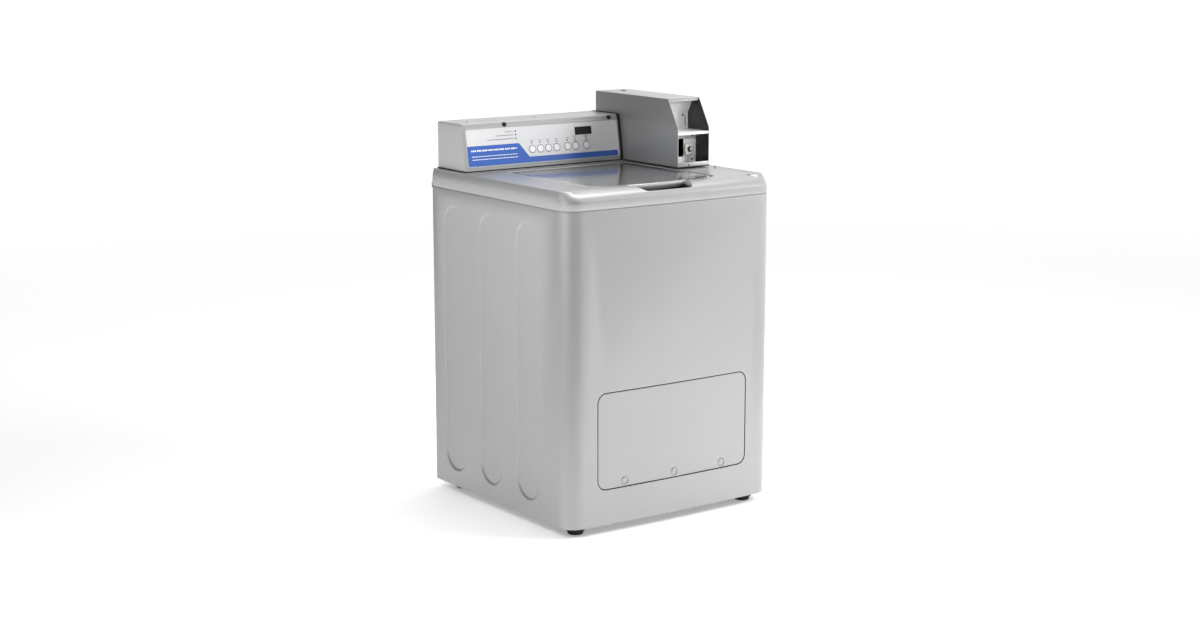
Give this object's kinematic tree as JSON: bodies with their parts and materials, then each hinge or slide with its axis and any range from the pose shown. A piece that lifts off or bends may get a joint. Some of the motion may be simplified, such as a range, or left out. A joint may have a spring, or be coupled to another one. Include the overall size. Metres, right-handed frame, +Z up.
{
  "type": "top load washing machine",
  "caption": "Top load washing machine with a lidded agitator tub, a leaning push-button console and an open coin-meter case on the top cover.",
  "frame": {"origin": "on the floor, under the middle of the object as seen from above", "axes": "+Z up, -Y out of the front, +X to the right as seen from the front"},
  "size_m": [0.686, 0.67, 1.1077],
  "materials": {
    "cabinet_paint": "semi-gloss light metallic grey paint with a fine flake",
    "lid_paint": "glossy light metallic grey paint",
    "meter_steel": "satin mid-grey powder coat on thick sheet steel",
    "bright_steel": "bright brushed sheet",
    "chrome_lock": "polished",
    "galvanised": "zinc-plated, spangled",
    "spring_steel": "drawn wire",
    "stainless": "brushed stainless",
    "cast_metal": "sand cast, matt",
    "rubber": "matt black",
    "black_plastic": "moulded, satin",
    "white_plastic": "moulded, satin",
    "button_white": "smooth moulded",
    "tub_plastic": "moulded, slightly rough",
    "overlay": "glossy printed film, silver with a blue band",
    "display_glass": "dark tinted window",
    "circuit_board": "green board"
  },
  "bodies": {
    "cabinet": {"cabinet_shell": "cabinet_paint", "base_frame": "galvanised", "rear_panel": "cabinet_paint", "inlet_valve": "white_plastic", "drain_port": "black_plastic", "cord_bush": "black_plastic", "suspension_rod_front_left": "galvanised", "suspension_rod_front_right": "galvanised", "suspension_rod_rear_left": "galvanised", "suspension_rod_rear_right": "galvanised"},
    "access_panel": {"access_panel": "cabinet_paint"},
    "cover": {"top_cover": "cabinet_paint", "cover_clip_left": "black_plastic", "cover_clip_right": "black_plastic", "lid_switch": "white_plastic", "fill_spout": "black_plastic", "console_housing": "cabinet_paint", "control_panel": "overlay", "display_window": "display_glass", "control_board": "circuit_board", "plug_left": "black_plastic", "plug_right": "black_plastic", "meter_case": "meter_steel", "coin_bracket": "bright_steel", "vault_plate": "meter_steel", "vault_lock_collar": "white_plastic"},
    "lid": {"lid": "lid_paint", "lid_hinge_pin": "chrome_lock"},
    "meter_door": {"meter_door": "bright_steel"},
    "meter_door_lock": {"meter_door_lock": "chrome_lock"},
    "vault_lock_plug": {"vault_lock_plug": "chrome_lock"},
    "tub": {"outer_tub": "tub_plastic", "tub_cover": "tub_plastic", "support_bracket": "galvanised", "gearcase": "cast_metal", "motor": "cast_metal", "drain_pump": "black_plastic", "drive_belt": "rubber", "suspension_spring_front_left": "spring_steel", "suspension_spring_front_right": "spring_steel", "suspension_spring_rear_left": "spring_steel", "suspension_spring_rear_right": "spring_steel"},
    "basket": {"wash_basket": "stainless", "balance_ring": "white_plastic", "spin_tube": "cast_metal"},
    "agitator": {"agitator": "white_plastic", "drive_shaft": "stainless", "drive_pulley": "cast_metal"},
    "motor_rotor": {"motor_pulley": "galvanised"},
    "foot_front_left": {"foot_front_left": "rubber"},
    "foot_front_right": {"foot_front_right": "rubber"},
    "foot_rear_left": {"foot_rear_left": "rubber"},
    "foot_rear_right": {"foot_rear_right": "rubber"},
    "button_1": {"button_1": "button_white"},
    "button_2": {"button_2": "button_white"},
    "button_3": {"button_3": "button_white"},
    "button_4": {"button_4": "button_white"},
    "button_5": {"button_5": "button_white"},
    "button_6": {"button_6": "button_white"},
    "button_7": {"button_7": "button_white"}
  },
  "joints": [
    {"name": "access_panel_tilt", "type": "hinge", "parent": "cabinet", "child": "access_panel", "pos_m": [0, -0.335, 0.38], "axis": [-1, 0, 0], "range_deg": [0, 35]},
    {"name": "agitator_turn", "type": "hinge", "parent": "tub", "child": "agitator", "pos_m": [0, 0, 0.4], "axis": [0, 0, 1], "continuous": true},
    {"name": "basket_spin", "type": "hinge", "parent": "tub", "child": "basket", "pos_m": [0, 0, 0.4], "axis": [0, 0, 1], "continuous": true},
    {"name": "bounce_of_tub", "type": "slide", "parent": "cabinet", "child": "tub", "axis": [0, 0, 1], "range_m": [-0.015, 0.012], "stiffness_N_per_m": 12000, "springref_m": 0.0265, "deforming": ["suspension_spring_front_left", "suspension_spring_front_right", "suspension_spring_rear_left", "suspension_spring_rear_right"]},
    {"name": "cover_service_tilt", "type": "hinge", "parent": "cabinet", "child": "cover", "pos_m": [0, 0.335, 0.866], "axis": [-1, 0, 0], "range_deg": [0, 40]},
    {"name": "lid_hinge", "type": "hinge", "parent": "cover", "child": "lid", "pos_m": [0, 0.153, 0.907], "axis": [-1, 0, 0], "range_deg": [0, 100]},
    {"name": "meter_door_hinge", "type": "hinge", "parent": "cover", "child": "meter_door", "pos_m": [0.2642, -0.027, 1.1045], "axis": [1, 0, 0], "range_deg": [0, 75]},
    {"name": "meter_lock_turn", "type": "hinge", "parent": "meter_door", "child": "meter_door_lock", "pos_m": [0.272, 0.267, 1.1045], "axis": [0, 0, 1], "range_deg": [0, 90]},
    {"name": "motor_turn", "type": "hinge", "parent": "tub", "child": "motor_rotor", "pos_m": [-0.125, -0.115, 0.2], "axis": [0, 0, 1], "continuous": true},
    {"name": "push_button_1", "type": "slide", "parent": "cover", "child": "button_1", "axis": [0, 0.9872, -0.1595], "range_m": [0, 0.0015], "stiffness_N_per_m": 150, "springref_m": -0.004},
    {"name": "push_button_2", "type": "slide", "parent": "cover", "child": "button_2", "axis": [0, 0.9872, -0.1595], "range_m": [0, 0.0015], "stiffness_N_per_m": 150, "springref_m": -0.004},
    {"name": "push_button_3", "type": "slide", "parent": "cover", "child": "button_3", "axis": [0, 0.9872, -0.1595], "range_m": [0, 0.0015], "stiffness_N_per_m": 150, "springref_m": -0.004},
    {"name": "push_button_4", "type": "slide", "parent": "cover", "child": "button_4", "axis": [0, 0.9872, -0.1595], "range_m": [0, 0.0015], "stiffness_N_per_m": 150, "springref_m": -0.004},
    {"name": "push_button_5", "type": "slide", "parent": "cover", "child": "button_5", "axis": [0, 0.9872, -0.1595], "range_m": [0, 0.0015], "stiffness_N_per_m": 150, "springref_m": -0.004},
    {"name": "push_button_6", "type": "slide", "parent": "cover", "child": "button_6", "axis": [0, 0.9872, -0.1595], "range_m": [0, 0.0015], "stiffness_N_per_m": 150, "springref_m": -0.004},
    {"name": "push_button_7", "type": "slide", "parent": "cover", "child": "button_7", "axis": [0, 0.9872, -0.1595], "range_m": [0, 0.0015], "stiffness_N_per_m": 150, "springref_m": -0.004},
    {"name": "screw_foot_front_left", "type": "hinge", "parent": "cabinet", "child": "foot_front_left", "pos_m": [-0.284, -0.277, 0.02], "axis": [0, 0, 1], "continuous": true},
    {"name": "screw_foot_front_right", "type": "hinge", "parent": "cabinet", "child": "foot_front_right", "pos_m": [0.284, -0.277, 0.02], "axis": [0, 0, 1], "continuous": true},
    {"name": "screw_foot_rear_left", "type": "hinge", "parent": "cabinet", "child": "foot_rear_left", "pos_m": [-0.284, 0.277, 0.02], "axis": [0, 0, 1], "continuous": true},
    {"name": "screw_foot_rear_right", "type": "hinge", "parent": "cabinet", "child": "foot_rear_right", "pos_m": [0.284, 0.277, 0.02], "axis": [0, 0, 1], "continuous": true},
    {"name": "vault_lock_turn", "type": "hinge", "parent": "cover", "child": "vault_lock_plug", "pos_m": [0.288, -0.014, 0.959], "axis": [0, 1, 0], "range_deg": [0, 90]}
  ],
  "couplings": [
    {"joint": "motor_turn", "follows": "agitator_turn", "ratio": 3.1667}
  ]
}
